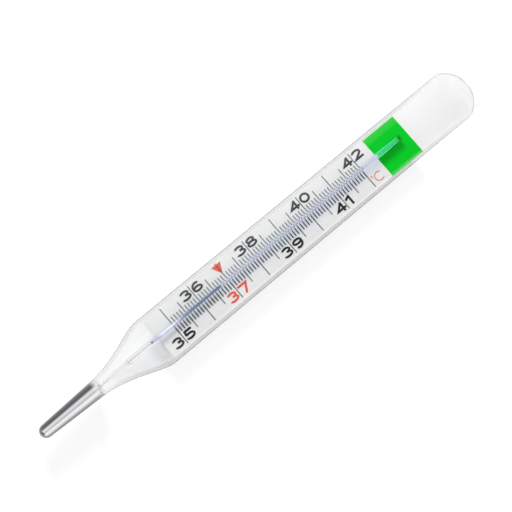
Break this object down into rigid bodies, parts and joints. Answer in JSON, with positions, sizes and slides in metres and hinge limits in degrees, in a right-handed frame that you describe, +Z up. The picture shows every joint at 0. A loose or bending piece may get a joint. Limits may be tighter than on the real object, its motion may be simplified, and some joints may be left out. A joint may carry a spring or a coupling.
{
  "type": "clinical thermometer",
  "caption": "Enclosed-scale clinical thermometer: flattened glass sheath over a white scale plate, with a capillary column rising from a slender metal-filled bulb.",
  "frame": {"origin": "middle of the overall length and width, at the flat back that the thermometer lies on", "axes": "+X along the long axis from the bulb to the dome, +Y across the scale towards the row of even degrees, +Z up out of the scale face"},
  "size_m": [0.1258, 0.0126, 0.0084],
  "materials": {
    "sheath_glass": "clear, smooth, flame polished",
    "bulb_glass": "clear, smooth",
    "capillary_glass": "clear, smooth",
    "liquid_metal": "mirror bright liquid metal",
    "plate_enamel": "satin white enamel",
    "panel_green": "satin green enamel",
    "stripe_ink": "pale blue print",
    "black_ink": "black print",
    "red_ink": "red print"
  },
  "bodies": {
    "thermometer": {"sheath_tube": "sheath_glass", "sheath_shoulder": "sheath_glass", "end_dome": "sheath_glass", "neck_weld": "sheath_glass", "bulb_glass": "bulb_glass", "bulb_liquid": "liquid_metal", "constriction_stem": "capillary_glass", "stem_liquid": "liquid_metal", "capillary_tube": "capillary_glass", "capillary_bead": "capillary_glass", "pinch_droplets": "liquid_metal", "feed_thread": "liquid_metal", "scale_plate": "plate_enamel", "end_panel": "panel_green", "reading_stripe": "stripe_ink", "graduation_lines": "black_ink", "black_numerals": "black_ink", "red_numerals": "red_ink", "normal_pointer": "red_ink"},
    "column": {"column_thread": "liquid_metal"}
  },
  "joints": [
    {"name": "column_slide", "type": "slide", "parent": "thermometer", "child": "column", "axis": [1, 0, 0], "range_m": [-0.0136, 0.0424], "deforming": ["feed_thread"]}
  ]
}
